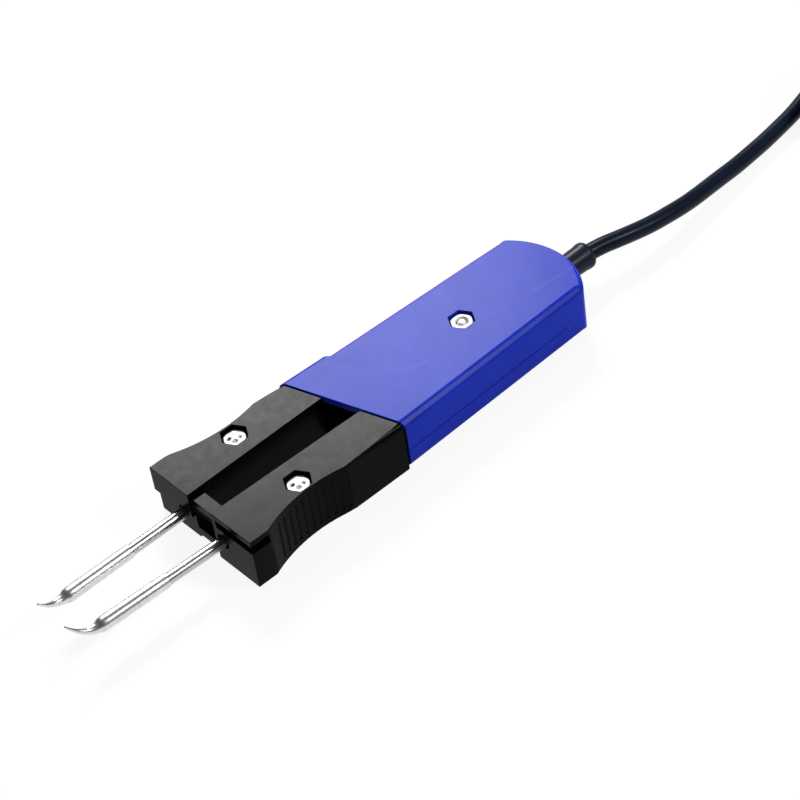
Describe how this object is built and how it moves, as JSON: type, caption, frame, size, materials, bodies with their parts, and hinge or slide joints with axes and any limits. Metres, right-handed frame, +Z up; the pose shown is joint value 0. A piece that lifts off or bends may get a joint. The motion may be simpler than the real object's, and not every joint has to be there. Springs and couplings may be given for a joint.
{
  "type": "soldering tweezers",
  "caption": "Hand-held soldering tweezers: sprung, ribbed arms carry heated rods with bent tips, in a tapered split body with a cable sleeve, a cord in a tied hank and a round plug.",
  "frame": {"origin": "middle of the footprint on the surface it lies on, without its cord and plug", "axes": "+X to the right seen from the cord's end with the nuts up, +Y from the tips to the cord, +Z up from the surface"},
  "size_m": [0.0562, 0.3724, 0.015],
  "materials": {
    "blue_plastic": "satin",
    "black_plastic": "fine matt",
    "plated_steel": "bright plated",
    "pin_steel": "ground",
    "spring_steel": "drawn wire",
    "rod_steel": "polished",
    "tip_plating": "polished",
    "bush_ceramic": "matt ceramic",
    "lead_insulation": "satin",
    "splice_sleeving": "satin",
    "black_rubber": "satin",
    "cord_jacket": "gloss",
    "tie_plastic": "satin",
    "plug_plastic": "satin",
    "ring_metal": "knurled and plated",
    "insert_plastic": "matt",
    "contact_brass": "polished"
  },
  "bodies": {
    "housing": {"body_top_shell": "blue_plastic", "body_bottom_shell": "blue_plastic", "body_screw": "plated_steel", "body_nut": "plated_steel", "pivot_pins": "pin_steel", "return_spring": "spring_steel", "wire_splices": "splice_sleeving", "cable_sleeve": "black_rubber", "cord_tube": "cord_jacket", "cord_hank": "cord_jacket", "cord_tail": "cord_jacket", "cord_tie": "tie_plastic", "plug_boot": "black_rubber", "plug_shell": "plug_plastic", "plug_ring": "ring_metal", "plug_insert": "insert_plastic", "plug_contacts": "contact_brass"},
    "left_arm": {"left_arm_upper": "black_plastic", "left_arm_lower": "black_plastic", "left_arm_screw": "plated_steel", "left_arm_nut": "plated_steel", "left_heater": "rod_steel", "left_heater_bush": "bush_ceramic", "left_heater_leads": "lead_insulation", "left_tip": "tip_plating"},
    "right_arm": {"right_arm_upper": "black_plastic", "right_arm_lower": "black_plastic", "right_arm_screw": "plated_steel", "right_arm_nut": "plated_steel", "right_heater": "rod_steel", "right_heater_bush": "bush_ceramic", "right_heater_leads": "lead_insulation", "right_tip": "tip_plating"}
  },
  "joints": [
    {"name": "left_arm_pivot", "type": "hinge", "parent": "housing", "child": "left_arm", "pos_m": [-0.00905, 0.03286, 0.0075], "axis": [0, 0, 1], "range_deg": [0, 2.3], "stiffness_Nm_per_rad": 1.2, "springref_deg": -2.86, "deforming": ["return_spring"]},
    {"name": "right_arm_pivot", "type": "hinge", "parent": "housing", "child": "right_arm", "pos_m": [0.00905, 0.03286, 0.0075], "axis": [0, 0, -1], "range_deg": [0, 2.3], "stiffness_Nm_per_rad": 1.2, "springref_deg": -2.86, "deforming": ["return_spring"]}
  ]
}
